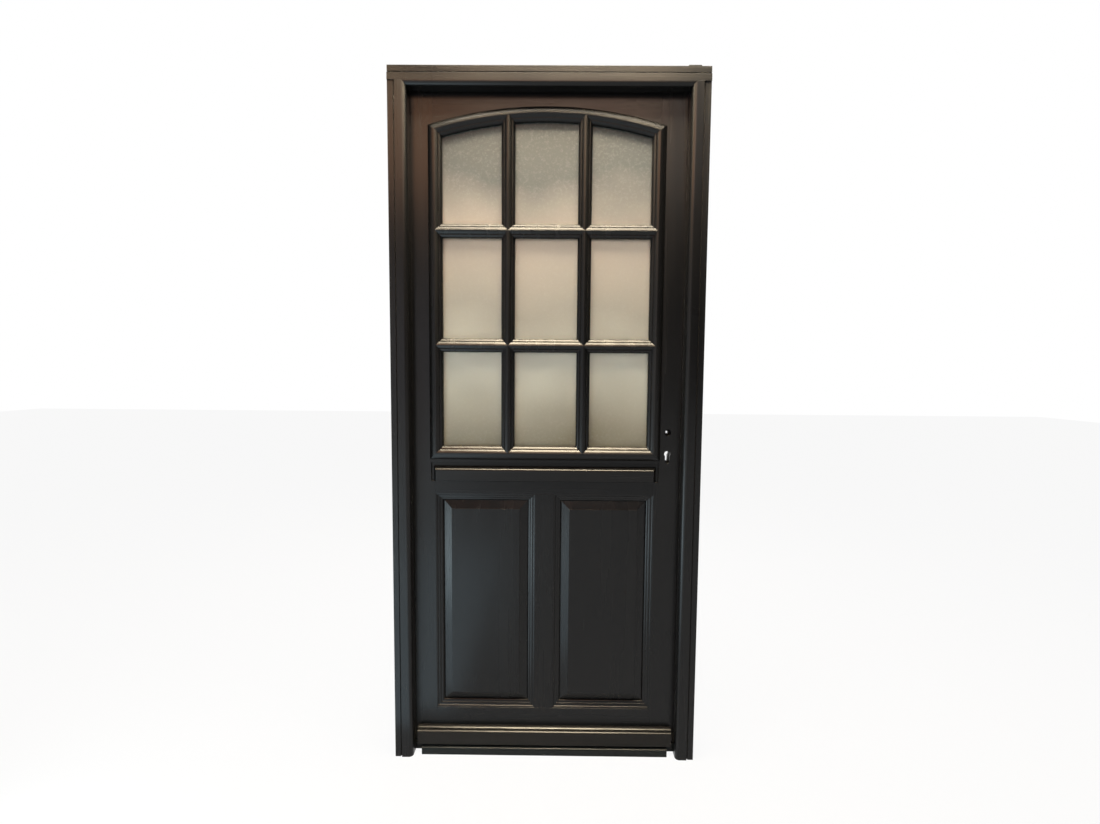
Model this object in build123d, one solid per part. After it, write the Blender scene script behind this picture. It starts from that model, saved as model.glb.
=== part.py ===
from build123d import *
import math
import os

# Glazed front door: a panelled timber leaf hung in its moulded frame.
# Millimetres. X runs from the hinge jamb's wall face towards the lock jamb,
# Y runs into the building from the outside face of the leaf, Z is up from the jamb feet.

# Frame
FRAME_WIDTH = 980.0
FRAME_HEIGHT = 2190.0
FRAME_DEPTH = 100.0
LEAF_SETBACK = 50.0        # outside face of the frame to outside face of the leaf
BAND_WIDTH = 18.0          # outer band beside the wall
BAND_SETBACK = 3.0         # the band lies this far behind the proud face
GROOVE_WIDTH = 4.0
GROOVE_DEPTH = 4.0
FLAT_WIDTH = 44.0          # wall face to the start of the rounded edge
EDGE_RADIUS = 14.0         # rounded edge of the opening
REBATE_LAP = 18.0          # how far the stop covers the rebate
STOP_GAP = 7.0             # stop to the outside face of the leaf
SEAL_TONGUE = 3.0
SEAL_TONGUE_DEPTH = 5.0
SEAL_RADIUS = 2.0
ARRIS = 2.0

# Threshold
THRESHOLD_HEIGHT = 26.0
NOSE_SETBACK = 14.0        # frame face to the front of the nose
NOSE_NOTCH = 26.0          # reveal to the end of the nose
NOSE_FALL = 1.5            # how far the top of the nose falls to its front
NOSE_ROUND = 3.0

# Packer left on top of the head
PACKER_LENGTH = 41.0
PACKER_THICKNESS = 3.0
PACKER_DEPTH = 30.0
PACKER_INSET = 30.0        # from the lock side of the frame
PACKER_BEVEL = 2.0

# Leaf
LEAF_THICKNESS = 48.0
LEAF_SIDE_GAP = 8.0
LEAF_TOP_GAP = 8.0
LEAF_FOOT_GAP = 5.0
HINGE_STILE_WIDTH = 81.0
LOCK_STILE_WIDTH = 91.0
BOTTOM_RAIL_HEIGHT = 112.0
MID_RAIL_HEIGHT = 129.5
MUNTIN_WIDTH = 61.0
PANEL_OPENING_HEIGHT = 728.5

# Moulded edge worked on the stiles and rails round each panel
STEP_WIDTHS = (6.0, 8.5, 7.5)
STEP_RISE = 1.0            # straight edge of each step
STEP_FALL = 3.0            # fall of its rounded part
STEP_BULGE = 0.9
PANEL_TONGUE = 14.0
PANEL_PLAY = 2.0
BEVEL_WIDTH = 29.0
FIELD_SETBACK = 4.0        # leaf face to the face of the raised field
FIELD_STEP = 2.5

# Glazing
CROWN_MARGIN = 94.0        # top of the leaf to the crown of the sight line
ARCH_RADIUS = 1215.0
MOULDING_WIDTH = 43.0
MOULDING_PROUD = 13.0
MOULDING_EDGE = 3.0        # thickness of the moulding at its outer edge
SLOPE_BULGE = 2.4          # of the broad slope from the ridge to the outer edge
OVOLO_WIDTH = 8.5
OVOLO_TOP = 5.0            # top of the ovolo above the leaf face
OVOLO_BULGE = 1.3
BEAD_BULGE = 1.5
QUIRK_WIDTH = 1.0
QUIRK_DROP = 0.8
SIGHT_FILLET = 8.0         # straight upstand between the glass and the ovolo
GLASS_COVER = 26.5         # sight line to the edge of the rebate
UNIT_THICKNESS = 24.0
PANE_THICKNESS = 4.0
UNIT_PLAY = 3.0
SPACER_WIDTH = 8.0
BEDDING = 0.5              # side clearance of the moulding in the rebate
BOTTOM_LIGHT_HEIGHT = 304.0
MIDDLE_LIGHT_HEIGHT = 316.5
MIDDLE_LIGHT_WIDTH = 198.5
INNER_BEAD_FILLET = 5.0    # inside beads: straight upstand on the glass
INNER_BEAD_OVOLO = 9.0
INNER_BEAD_BULGE = 1.9
INNER_BAR_TAIL = 6.0       # how far the inside bars run under the beads

# Upper weather bar and the recess that it is let into
UPPER_BAR_LAP = 5.0        # how far each end runs over a stile
UPPER_BAR_DROP = 65.5      # sight line to the top of the bar
UPPER_BAR_HEIGHT = 46.0
UPPER_BAR_PROUD = 20.0
UPPER_BAR_FALL = 4.5       # of its top, back to front
UPPER_BAR_NOSE = 6.5
UPPER_BAR_ARRIS = 1.5
UPPER_BAR_SPLAY = 10.0     # each end runs back by this much at the front
HOUSING_MARGIN_X = 9.0
HOUSING_MARGIN_TOP = 12.0
HOUSING_MARGIN_BOTTOM = 3.0
HOUSING_DEPTH = 6.0

# Lower weather bar, laid on the bottom rail
LOWER_BAR_CLEARANCE = 8.0  # each end to the reveal of its jamb
LOWER_BAR_HEIGHT = 51.5
LOWER_BAR_PROUD = 30.0
LOWER_BAR_SPLAY = 3.0
LOWER_BAR_LIFT = 0.5       # above the foot of the leaf
COVER_OVOLO_WIDTH = 13.0   # rounded part of its top, beyond a short flat
COVER_FLAT = 2.0
COVER_OVOLO_FALL = 4.0
COVER_OVOLO_BULGE = 1.3
COVER_QUIRK_WIDTH = 3.0
COVER_QUIRK_DROP = 6.5     # below the top of the bar
COVER_BEAD_RISE = 1.2      # of the bead out of the quirk
COVER_BEAD_FALL = 8.0      # top of the bar to the foot of the bead
COVER_BEAD_BULGE = 2.0

# Drip grooves under both weather bars
DRIP_SETBACK = 5.0         # front of the bar to the groove
DRIP_WIDTH = 4.0
DRIP_DEPTH = 4.0

# Lock
LOCK_BACKSET = 50.0
SPINDLE_HEIGHT = 1077.0
CYLINDER_DROP = 70.0
SPINDLE_HOLE_RADIUS = 10.5
SPINDLE_SQUARE = 8.0
CYLINDER_HOLE_RADIUS = 10.0
CYLINDER_SLOT_WIDTH = 14.0
CYLINDER_HOLE_HEIGHT = 40.0
PROFILE_RADIUS = 8.7
PROFILE_SLOT_WIDTH = 10.4
PROFILE_HEIGHT = 33.0
CASE_HEIGHT = 165.0
CASE_DEPTH = 77.0
CASE_THICKNESS = 16.0
CASE_ABOVE_SPINDLE = 55.0
CASE_PLAY = 0.5
FACEPLATE_HEIGHT = 235.0
FACEPLATE_WIDTH = 20.0
FACEPLATE_THICKNESS = 3.0
PLATE_PLAY = 0.2
LATCH_SIZE = (12.0, 20.0)  # across the edge, along the edge
LATCH_RISE = 20.0          # above the spindle
BOLT_SIZE = (12.0, 34.0)
BOLT_RISE = 6.0            # above the middle of the cylinder's round part
KEEP_PLAY = 2.0
KEEP_DEPTH = 16.0

# Hinges
HINGE_COUNT = 4
HINGE_HEIGHT = 120.0
HINGE_END_DISTANCE = 200.0  # leaf end to the middle of the first hinge
HINGE_RADIUS = 7.0
HINGE_PIN_RADIUS = 4.0
HINGE_RUNNING = 0.06
HINGE_GAP = 0.3
HINGE_STANDOFF = 0.5
HINGE_PLATE = 2.5
HINGE_PLATE_EDGE = 12.0    # outside face of the leaf to the plate's far edge
HINGE_PLATE_CUT = 1.0      # the cut-back half of each plate stops this far inside the face
HINGE_CAP = 5.0
HINGE_PIN_PLAY = 1.0

CUT_OVER = 1.0             # how far a cutting body passes the face it cuts

# Places worked out from the sizes above
MID = FRAME_WIDTH / 2
FRONT = -LEAF_SETBACK
BACK = FRAME_DEPTH - LEAF_SETBACK
FACE_WIDTH = FLAT_WIDTH + EDGE_RADIUS
REBATE = FACE_WIDTH - REBATE_LAP
SEAL_LINE = (REBATE + FACE_WIDTH) / 2
JAMB_TOP = FRAME_HEIGHT - FLAT_WIDTH

LEAF_LEFT = REBATE + LEAF_SIDE_GAP
LEAF_RIGHT = FRAME_WIDTH - LEAF_LEFT
LEAF_FOOT = THRESHOLD_HEIGHT + LEAF_FOOT_GAP
LEAF_TOP = FRAME_HEIGHT - REBATE - LEAF_TOP_GAP
LEAF_MIDDLE = LEAF_THICKNESS / 2
INNER_LEFT = LEAF_LEFT + HINGE_STILE_WIDTH
INNER_RIGHT = LEAF_RIGHT - LOCK_STILE_WIDTH
LIGHT_MIDDLE = (INNER_LEFT + INNER_RIGHT) / 2
PANEL_BOTTOM = LEAF_FOOT + BOTTOM_RAIL_HEIGHT
PANEL_TOP = PANEL_BOTTOM + PANEL_OPENING_HEIGHT
MID_RAIL_TOP = PANEL_TOP + MID_RAIL_HEIGHT
STICKING_WIDTH = sum(STEP_WIDTHS)
TONGUE_FACE = LEAF_MIDDLE - PANEL_TONGUE / 2

SIGHT_LEFT = INNER_LEFT + GLASS_COVER
SIGHT_RIGHT = INNER_RIGHT - GLASS_COVER
SIGHT_WIDTH = SIGHT_RIGHT - SIGHT_LEFT
SIGHT_BOTTOM = MID_RAIL_TOP + GLASS_COVER
SIGHT_CROWN = LEAF_TOP - CROWN_MARGIN
ARCH_CENTRE = SIGHT_CROWN - ARCH_RADIUS
GLASS_FRONT = LEAF_MIDDLE - UNIT_THICKNESS / 2
GLASS_BACK = LEAF_MIDDLE + UNIT_THICKNESS / 2
BEAD_WIDTH = GLASS_COVER - BEDDING
LOWER_BAR_CENTRE = SIGHT_BOTTOM + BOTTOM_LIGHT_HEIGHT + MOULDING_WIDTH / 2
UPPER_BAR_CENTRE = LOWER_BAR_CENTRE + MIDDLE_LIGHT_HEIGHT + MOULDING_WIDTH
SIDE_BAR_OFFSET = (MIDDLE_LIGHT_WIDTH + MOULDING_WIDTH) / 2
WEATHER_BAR_TOP = SIGHT_BOTTOM - UPPER_BAR_DROP
UPPER_BAR_LENGTH = INNER_RIGHT - INNER_LEFT + 2 * UPPER_BAR_LAP
LOWER_BAR_LENGTH = FRAME_WIDTH - 2 * (FACE_WIDTH + LOWER_BAR_CLEARANCE)

LOCK_X = LEAF_RIGHT - LOCK_BACKSET
CYLINDER_HEIGHT = SPINDLE_HEIGHT - CYLINDER_DROP
CASE_TOP = SPINDLE_HEIGHT + CASE_ABOVE_SPINDLE
LOCK_MIDDLE = CASE_TOP - CASE_HEIGHT / 2
LATCH_HEIGHT = SPINDLE_HEIGHT + LATCH_RISE
BOLT_HEIGHT = CYLINDER_HEIGHT + BOLT_RISE

AXIS_X = LEAF_LEFT - LEAF_SIDE_GAP / 2
AXIS_Y = BACK + HINGE_RADIUS + HINGE_STANDOFF

LEAF_CENTRE_PLANE = Plane(origin=(0, LEAF_MIDDLE, 0), z_dir=(0, 1, 0))


def block(x0, x1, y0, y1, z0, z1):
    """A box between two corners."""
    return Pos((x0 + x1) / 2, (y0 + y1) / 2, (z0 + z1) / 2) * Box(x1 - x0, y1 - y0, z1 - z0)


def upright(face_xy, z0, z1):
    """A horizontal section drawn in X and Y, raised from z0 to z1."""
    return Pos(0, 0, z0) * extrude(face_xy, z1 - z0, dir=(0, 0, 1))


def across(outline_yz, x0, x1):
    """A vertical section drawn in Y and Z, run from x0 to x1."""
    section = make_face([Plane.YZ * edge for edge in outline_yz])
    return Pos(x0, 0, 0) * extrude(section, x1 - x0, dir=(1, 0, 0))


def through(points_xz, y0, y1):
    """An outline drawn in X and Z, run from y0 to y1."""
    section = make_face(Polyline(*[(x, y0, z) for x, z in points_xz], close=True))
    return extrude(section, y1 - y0, dir=(0, 1, 0))


def drill(x, z, radius, y0, y1):
    """A round rod along Y, used to bore holes."""
    return Pos(x, (y0 + y1) / 2, z) * Rot(90, 0, 0) * Cylinder(radius, y1 - y0)


def inside_copy(piece):
    """The same piece on the inside face of the leaf."""
    return mirror(piece, about=LEAF_CENTRE_PLANE)


def other_hand(piece, middle=MID):
    """The same piece on the lock side of the door, or of another middle."""
    return mirror(piece, about=Plane(origin=(middle, 0, 0), z_dir=(1, 0, 0)))


def save(shape, name):
    export_step(shape, f"parts/{name}.step")


# Frame members

def member_section():
    """Section of a jamb in X and Y, from the wall face to the reveal."""
    band = FRONT + BAND_SETBACK
    groove = band + GROOVE_DEPTH
    seal_low = SEAL_LINE - SEAL_TONGUE / 2
    seal_high = SEAL_LINE + SEAL_TONGUE / 2
    outline = [
        Line((0, band), (BAND_WIDTH, band)),
        Line((BAND_WIDTH, band), (BAND_WIDTH, groove)),
        Line((BAND_WIDTH, groove), (BAND_WIDTH + GROOVE_WIDTH, groove)),
        Line((BAND_WIDTH + GROOVE_WIDTH, groove), (BAND_WIDTH + GROOVE_WIDTH, FRONT)),
        Line((BAND_WIDTH + GROOVE_WIDTH, FRONT), (FLAT_WIDTH, FRONT)),
        CenterArc((FLAT_WIDTH, FRONT + EDGE_RADIUS), EDGE_RADIUS, -90, 90),
        Line((FACE_WIDTH, FRONT + EDGE_RADIUS), (FACE_WIDTH, -STOP_GAP)),
        Polyline(
            (FACE_WIDTH, -STOP_GAP),
            (seal_high, -STOP_GAP),
            (seal_high, -STOP_GAP - SEAL_TONGUE_DEPTH),
            (seal_low, -STOP_GAP - SEAL_TONGUE_DEPTH),
            (seal_low, -STOP_GAP),
            (REBATE, -STOP_GAP),
            (REBATE, BACK - ARRIS),
            (REBATE - ARRIS, BACK),
            (0, BACK),
            (0, band),
        ),
    ]
    return make_face(outline)


def head_outline_above_jambs():
    """Outline of the head in Y and Z where it runs over the jambs."""
    band = FRONT + BAND_SETBACK
    groove = band + GROOVE_DEPTH
    groove_top = FRAME_HEIGHT - BAND_WIDTH
    groove_bottom = groove_top - GROOVE_WIDTH
    outline = Polyline(
        (band, FRAME_HEIGHT),
        (band, groove_top),
        (groove, groove_top),
        (groove, groove_bottom),
        (FRONT, groove_bottom),
        (FRONT, JAMB_TOP),
        (BACK, JAMB_TOP),
        (BACK, FRAME_HEIGHT),
        close=True,
    )
    return [outline]


def head_seal_groove():
    """Groove for the seal in the head's stop, run on into the jambs to meet theirs."""
    half = SEAL_TONGUE / 2
    seal_z = FRAME_HEIGHT - SEAL_LINE
    x0 = SEAL_LINE - half
    groove_floor = -STOP_GAP - SEAL_TONGUE_DEPTH
    return block(x0, FRAME_WIDTH - x0, groove_floor, -STOP_GAP, seal_z - half, seal_z + half)


def hinge_jamb_blank():
    return upright(member_section(), 0, JAMB_TOP) - head_seal_groove()


def head_member(jambs):
    """The head: full width over the jambs, its moulded edge and stop between them."""
    soffit = FRAME_HEIGHT - FACE_WIDTH
    round_back = FRONT + EDGE_RADIUS
    over = across(head_outline_above_jambs(), 0, FRAME_WIDTH)
    edge_section = make_face(
        [
            Plane.YZ * CenterArc((round_back, JAMB_TOP), EDGE_RADIUS, 180, 90),
            Plane.YZ * Line((round_back, soffit), (round_back, JAMB_TOP)),
            Plane.YZ * Line((round_back, JAMB_TOP), (FRONT, JAMB_TOP)),
        ]
    )
    edge = extrude(edge_section, FRAME_WIDTH - 2 * FLAT_WIDTH, dir=(1, 0, 0))
    edge = Pos(FLAT_WIDTH, 0, 0) * edge
    for jamb in jambs:
        edge -= jamb
    stop = block(FACE_WIDTH, FRAME_WIDTH - FACE_WIDTH, round_back, -STOP_GAP, soffit, JAMB_TOP)
    rebate = block(REBATE, FRAME_WIDTH - REBATE, -STOP_GAP, BACK, JAMB_TOP, FRAME_HEIGHT - REBATE)
    return over + edge + stop - rebate - head_seal_groove()


def frame_seal():
    """The rubber seal round the stop, a tongue in its groove and a half-round lip."""
    half = SEAL_TONGUE / 2
    seal_z = FRAME_HEIGHT - SEAL_LINE
    groove_floor = -STOP_GAP - SEAL_TONGUE_DEPTH
    lip_back = SEAL_RADIUS - STOP_GAP
    x0, x1 = SEAL_LINE, FRAME_WIDTH - SEAL_LINE

    round_side = Pos(x0, -STOP_GAP, THRESHOLD_HEIGHT) * Cylinder(
        SEAL_RADIUS, seal_z - THRESHOLD_HEIGHT, align=(Align.CENTER, Align.CENTER, Align.MIN)
    )
    round_side += Pos(x0, -STOP_GAP, seal_z) * Sphere(SEAL_RADIUS)
    round_top = Pos(MID, -STOP_GAP, seal_z) * Rot(0, 90, 0) * Cylinder(SEAL_RADIUS, x1 - x0)
    lips = round_side + round_top + other_hand(round_side)
    lips &= block(0, FRAME_WIDTH, -STOP_GAP, lip_back, THRESHOLD_HEIGHT, FRAME_HEIGHT)

    side = block(x0 - half, x0 + half, groove_floor, -STOP_GAP, THRESHOLD_HEIGHT, seal_z + half)
    top = block(x0 - half, x1 + half, groove_floor, -STOP_GAP, seal_z - half, seal_z + half)
    return lips + side + top + other_hand(side)


def threshold():
    """The low threshold: a nose between open notches, and a bed between the jambs."""
    nose_front = FRONT + NOSE_SETBACK
    nose_end = FACE_WIDTH + NOSE_NOTCH
    front_top = THRESHOLD_HEIGHT - NOSE_FALL
    outline = [
        Line((nose_front, 0), (nose_front, front_top - NOSE_ROUND)),
        RadiusArc(
            (nose_front, front_top - NOSE_ROUND), (nose_front + NOSE_ROUND, front_top), NOSE_ROUND
        ),
        Polyline(
            (nose_front + NOSE_ROUND, front_top),
            (-STOP_GAP, THRESHOLD_HEIGHT),
            (-STOP_GAP, 0),
            (nose_front, 0),
        ),
    ]
    nose = across(outline, nose_end, FRAME_WIDTH - nose_end)
    bed = block(REBATE, FRAME_WIDTH - REBATE, -STOP_GAP, BACK, 0, THRESHOLD_HEIGHT)
    return nose + bed


def top_packer():
    """The small packer that sits on the head near the lock corner."""
    x1 = FRAME_WIDTH - PACKER_INSET
    x0 = x1 - PACKER_LENGTH
    y0 = FRONT + BAND_SETBACK
    outline = [
        (x0, FRAME_HEIGHT),
        (x0 + PACKER_BEVEL, FRAME_HEIGHT + PACKER_THICKNESS),
        (x1 - PACKER_BEVEL, FRAME_HEIGHT + PACKER_THICKNESS),
        (x1, FRAME_HEIGHT),
    ]
    return through(outline, y0, y0 + PACKER_DEPTH)


# Panel surrounds

def sticking_section():
    """Moulded edge in distance from the opening's edge (X) and depth (Y)."""
    outline = [Line((0, TONGUE_FACE), (0, 0))]
    at, depth = 0.0, 0.0
    for width in STEP_WIDTHS:
        shoulder = depth + STEP_RISE
        foot = shoulder + STEP_FALL
        outline.append(Line((at, depth), (at, shoulder)))
        outline.append(SagittaArc((at, shoulder), (at + width, foot), -STEP_BULGE))
        at, depth = at + width, foot
    outline.append(Line((at, depth), (at, TONGUE_FACE)))
    outline.append(Line((at, TONGUE_FACE), (0, TONGUE_FACE)))
    return make_face(outline)


def mitred_strip(length):
    """A length of moulded edge along X with both ends mitred, its width running up Z."""
    section = Plane(origin=(0, 0, 0), x_dir=(0, 0, 1), z_dir=(-1, 0, 0)) * sticking_section()
    run = extrude(section, length, dir=(1, 0, 0))
    w = STICKING_WIDTH
    return run & through([(0, 0), (length, 0), (length - w, w), (w, w)], -CUT_OVER, LEAF_MIDDLE)


def sticking(corner, inward, length):
    """Moulded edge on both faces of the leaf, from a corner of the opening.

    inward is the direction from the member into the opening.
    """
    x_dir = Vector(0, 1, 0).cross(Vector(*inward))
    place = Plane(origin=corner, x_dir=x_dir, z_dir=inward)
    strip = place * mitred_strip(length)
    return strip + inside_copy(strip)


def panel_openings():
    """Left and right openings between the stiles and the muntin."""
    half = MUNTIN_WIDTH / 2
    return ((INNER_LEFT, LIGHT_MIDDLE - half), (LIGHT_MIDDLE + half, INNER_RIGHT))


def housing():
    """The shallow recess that the upper weather bar is let into."""
    half = UPPER_BAR_LENGTH / 2 + HOUSING_MARGIN_X
    bottom = WEATHER_BAR_TOP - UPPER_BAR_HEIGHT - HOUSING_MARGIN_BOTTOM
    top = WEATHER_BAR_TOP + HOUSING_MARGIN_TOP
    return block(LIGHT_MIDDLE - half, LIGHT_MIDDLE + half, 0, HOUSING_DEPTH, bottom, top)


def hinge_stile_blank():
    stile = block(LEAF_LEFT, INNER_LEFT, 0, LEAF_THICKNESS, LEAF_FOOT, LEAF_TOP)
    stile += sticking((INNER_LEFT, 0, PANEL_TOP), (1, 0, 0), PANEL_OPENING_HEIGHT)
    return stile - housing()


def lock_stile_blank():
    stile = block(INNER_RIGHT, LEAF_RIGHT, 0, LEAF_THICKNESS, LEAF_FOOT, LEAF_TOP)
    stile += sticking((INNER_RIGHT, 0, PANEL_BOTTOM), (-1, 0, 0), PANEL_OPENING_HEIGHT)
    return stile - housing()


def bottom_rail():
    rail = block(INNER_LEFT, INNER_RIGHT, 0, LEAF_THICKNESS, LEAF_FOOT, PANEL_BOTTOM)
    for x0, x1 in panel_openings():
        rail += sticking((x0, 0, PANEL_BOTTOM), (0, 0, 1), x1 - x0)
    return rail


def mid_rail():
    rail = block(INNER_LEFT, INNER_RIGHT, 0, LEAF_THICKNESS, PANEL_TOP, MID_RAIL_TOP)
    for x0, x1 in panel_openings():
        rail += sticking((x1, 0, PANEL_TOP), (0, 0, -1), x1 - x0)
    return rail - housing()


def muntin():
    left, right = panel_openings()
    post = block(left[1], right[0], 0, LEAF_THICKNESS, PANEL_BOTTOM, PANEL_TOP)
    post += sticking((left[1], 0, PANEL_BOTTOM), (-1, 0, 0), PANEL_OPENING_HEIGHT)
    post += sticking((right[0], 0, PANEL_TOP), (1, 0, 0), PANEL_OPENING_HEIGHT)
    return post


def top_rail():
    """The top rail, arched on its underside."""
    radius = ARCH_RADIUS + GLASS_COVER
    spring = arch_height(LIGHT_MIDDLE - INNER_LEFT, radius)
    blank = block(INNER_LEFT, INNER_RIGHT, 0, LEAF_THICKNESS, spring, LEAF_TOP)
    return blank - drill(LIGHT_MIDDLE, ARCH_CENTRE, radius, -CUT_OVER, LEAF_THICKNESS + CUT_OVER)


def rectangle_at(x0, x1, z0, z1, y):
    """An upright rectangle at one depth."""
    return make_face(Polyline((x0, y, z0), (x1, y, z0), (x1, y, z1), (x0, y, z1), close=True))


def raised_half(x0, x1, z0, z1):
    """The bevel and field on the outside half of a panel between its sight lines."""
    a0, a1 = x0 + BEVEL_WIDTH, x1 - BEVEL_WIDTH
    c0, c1 = z0 + BEVEL_WIDTH, z1 - BEVEL_WIDTH
    brow = FIELD_SETBACK + FIELD_STEP
    bevel = loft([rectangle_at(x0, x1, z0, z1, TONGUE_FACE), rectangle_at(a0, a1, c0, c1, brow)])
    return bevel + block(a0, a1, FIELD_SETBACK, brow, c0, c1)


def raised_panel(opening):
    """A raised and fielded panel, its tongue held in the grooves with play all round."""
    x0, x1 = opening
    play, cover = PANEL_PLAY, STICKING_WIDTH
    tongue = block(
        x0 + play,
        x1 - play,
        TONGUE_FACE,
        LEAF_THICKNESS - TONGUE_FACE,
        PANEL_BOTTOM + play,
        PANEL_TOP - play,
    )
    half = raised_half(x0 + cover, x1 - cover, PANEL_BOTTOM + cover, PANEL_TOP - cover)
    return tongue + half + inside_copy(half)


# Glazing
# Sections are drawn in distance from the sight line (X) and depth (Y).

def arch_height(x_from_middle, radius):
    return ARCH_CENTRE + math.sqrt(radius ** 2 - x_from_middle ** 2)


def moulding_inner_half():
    """From the glass to the ridge: upstand, ovolo, quirk and half of the bead."""
    ridge = MOULDING_WIDTH / 2
    upstand_top = GLASS_FRONT - SIGHT_FILLET
    quirk_far = OVOLO_WIDTH + QUIRK_WIDTH
    quirk_floor = QUIRK_DROP - OVOLO_TOP
    outline = [
        Line((0, GLASS_FRONT), (0, upstand_top)),
        SagittaArc((0, upstand_top), (OVOLO_WIDTH, -OVOLO_TOP), -OVOLO_BULGE),
        Line((OVOLO_WIDTH, -OVOLO_TOP), (OVOLO_WIDTH, quirk_floor)),
        Line((OVOLO_WIDTH, quirk_floor), (quirk_far, quirk_floor)),
        SagittaArc((quirk_far, quirk_floor), (ridge, -MOULDING_PROUD), -BEAD_BULGE),
        Polyline((ridge, -MOULDING_PROUD), (ridge, GLASS_FRONT), (0, GLASS_FRONT)),
    ]
    return make_face(outline)


def moulding_outer_half():
    """From the ridge down one broad rounded slope to the edge that lies on the leaf."""
    edge = MOULDING_WIDTH
    ridge = MOULDING_WIDTH / 2
    outline = [
        Line((ridge, GLASS_FRONT), (ridge, -MOULDING_PROUD)),
        SagittaArc((ridge, -MOULDING_PROUD), (edge, -MOULDING_EDGE), -SLOPE_BULGE),
        Polyline(
            (edge, -MOULDING_EDGE),
            (edge, 0),
            (BEAD_WIDTH, 0),
            (BEAD_WIDTH, GLASS_FRONT),
            (ridge, GLASS_FRONT),
        ),
    ]
    return make_face(outline)


def outer_bar_section():
    """A glazing bar of the outside grid, the same on both sides of its ridge."""
    half = moulding_inner_half()
    return half + other_hand(half, MOULDING_WIDTH / 2)


def inner_bead_section(width, both_sides):
    """A bead or bar of the inside, flush with the leaf, rounded towards the glass."""
    upstand = GLASS_BACK + INNER_BEAD_FILLET
    face = LEAF_THICKNESS
    outline = [
        Line((0, GLASS_BACK), (0, upstand)),
        SagittaArc((0, upstand), (INNER_BEAD_OVOLO, face), INNER_BEAD_BULGE),
    ]
    if both_sides:
        outline += [
            Line((INNER_BEAD_OVOLO, face), (width - INNER_BEAD_OVOLO, face)),
            SagittaArc((width - INNER_BEAD_OVOLO, face), (width, upstand), INNER_BEAD_BULGE),
            Line((width, upstand), (width, GLASS_BACK)),
        ]
    else:
        outline.append(Polyline((INNER_BEAD_OVOLO, face), (width, face), (width, GLASS_BACK)))
    outline.append(Line((width, GLASS_BACK), (0, GLASS_BACK)))
    return make_face(outline)


def surround_members(section, width, y0, y1):
    """The four members of a glazing surround, mitred at the corners.

    y0 and y1 are depths in front of and behind the whole section.
    """
    half = SIGHT_WIDTH / 2
    inner_spring = arch_height(half, ARCH_RADIUS)
    outer_spring = arch_height(half + width, ARCH_RADIUS + width)
    foot = SIGHT_BOTTOM - width

    side_plane = Plane(origin=(SIGHT_LEFT, 0, foot), x_dir=(-1, 0, 0), z_dir=(0, 0, -1))
    left = extrude(side_plane * section, outer_spring - foot, dir=(0, 0, 1))
    left &= through(
        [
            (SIGHT_LEFT - width, foot),
            (SIGHT_LEFT, SIGHT_BOTTOM),
            (SIGHT_LEFT, inner_spring),
            (SIGHT_LEFT - width, outer_spring),
        ],
        y0,
        y1,
    )

    foot_plane = Plane(origin=(SIGHT_LEFT - width, 0, SIGHT_BOTTOM), x_dir=(0, 0, -1), z_dir=(1, 0, 0))
    bottom = extrude(foot_plane * section, SIGHT_WIDTH + 2 * width, dir=(1, 0, 0))
    bottom &= through(
        [
            (SIGHT_LEFT - width, foot),
            (SIGHT_RIGHT + width, foot),
            (SIGHT_RIGHT, SIGHT_BOTTOM),
            (SIGHT_LEFT, SIGHT_BOTTOM),
        ],
        y0,
        y1,
    )

    slope = (outer_spring - inner_spring) / width
    apex = inner_spring - half * slope
    reach = half + 2 * width
    swing = math.degrees(math.asin(reach / (ARCH_RADIUS + width)))
    axis = Axis((LIGHT_MIDDLE, 0, ARCH_CENTRE), (0, 1, 0))
    crown_plane = Plane(origin=(LIGHT_MIDDLE, 0, SIGHT_CROWN), x_dir=(0, 0, 1), z_dir=(-1, 0, 0))
    crown = revolve(crown_plane * section, axis=axis, revolution_arc=2 * swing)
    crown = crown.rotate(axis, -swing)
    crown &= through(
        [
            (LIGHT_MIDDLE, apex),
            (LIGHT_MIDDLE + reach, apex + reach * slope),
            (LIGHT_MIDDLE + reach, FRAME_HEIGHT),
            (LIGHT_MIDDLE - reach, FRAME_HEIGHT),
            (LIGHT_MIDDLE - reach, apex + reach * slope),
        ],
        y0,
        y1,
    )
    return {"left": left, "right": other_hand(left, LIGHT_MIDDLE), "bottom": bottom, "top": crown}


def glazing_bars(section, surround, tail, y0, y1):
    """The crossing glazing bars, mitred where they cross and scribed to their surround.

    tail is how far each bar runs on under the surround before it is scribed.
    """
    w = MOULDING_WIDTH
    low = SIGHT_BOTTOM - tail
    uprights = []
    for centre in (LIGHT_MIDDLE - SIDE_BAR_OFFSET, LIGHT_MIDDLE + SIDE_BAR_OFFSET):
        plane = Plane(origin=(centre + w / 2, 0, low), x_dir=(-1, 0, 0), z_dir=(0, 0, -1))
        uprights.append(extrude(plane * section, SIGHT_CROWN + tail - low, dir=(0, 0, 1)))
    rails = []
    for centre in (LOWER_BAR_CENTRE, UPPER_BAR_CENTRE):
        plane = Plane(origin=(SIGHT_LEFT - tail, 0, centre + w / 2), x_dir=(0, 0, -1), z_dir=(1, 0, 0))
        rails.append(extrude(plane * section, SIGHT_WIDTH + 2 * tail, dir=(1, 0, 0)))
    grid = uprights[0] + uprights[1] + rails[0] + rails[1]
    for member in surround.values():
        grid -= member
    grid &= drill(LIGHT_MIDDLE, ARCH_CENTRE, ARCH_RADIUS + tail, y0, y1)
    return max(grid.solids(), key=lambda piece: piece.volume)


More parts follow.
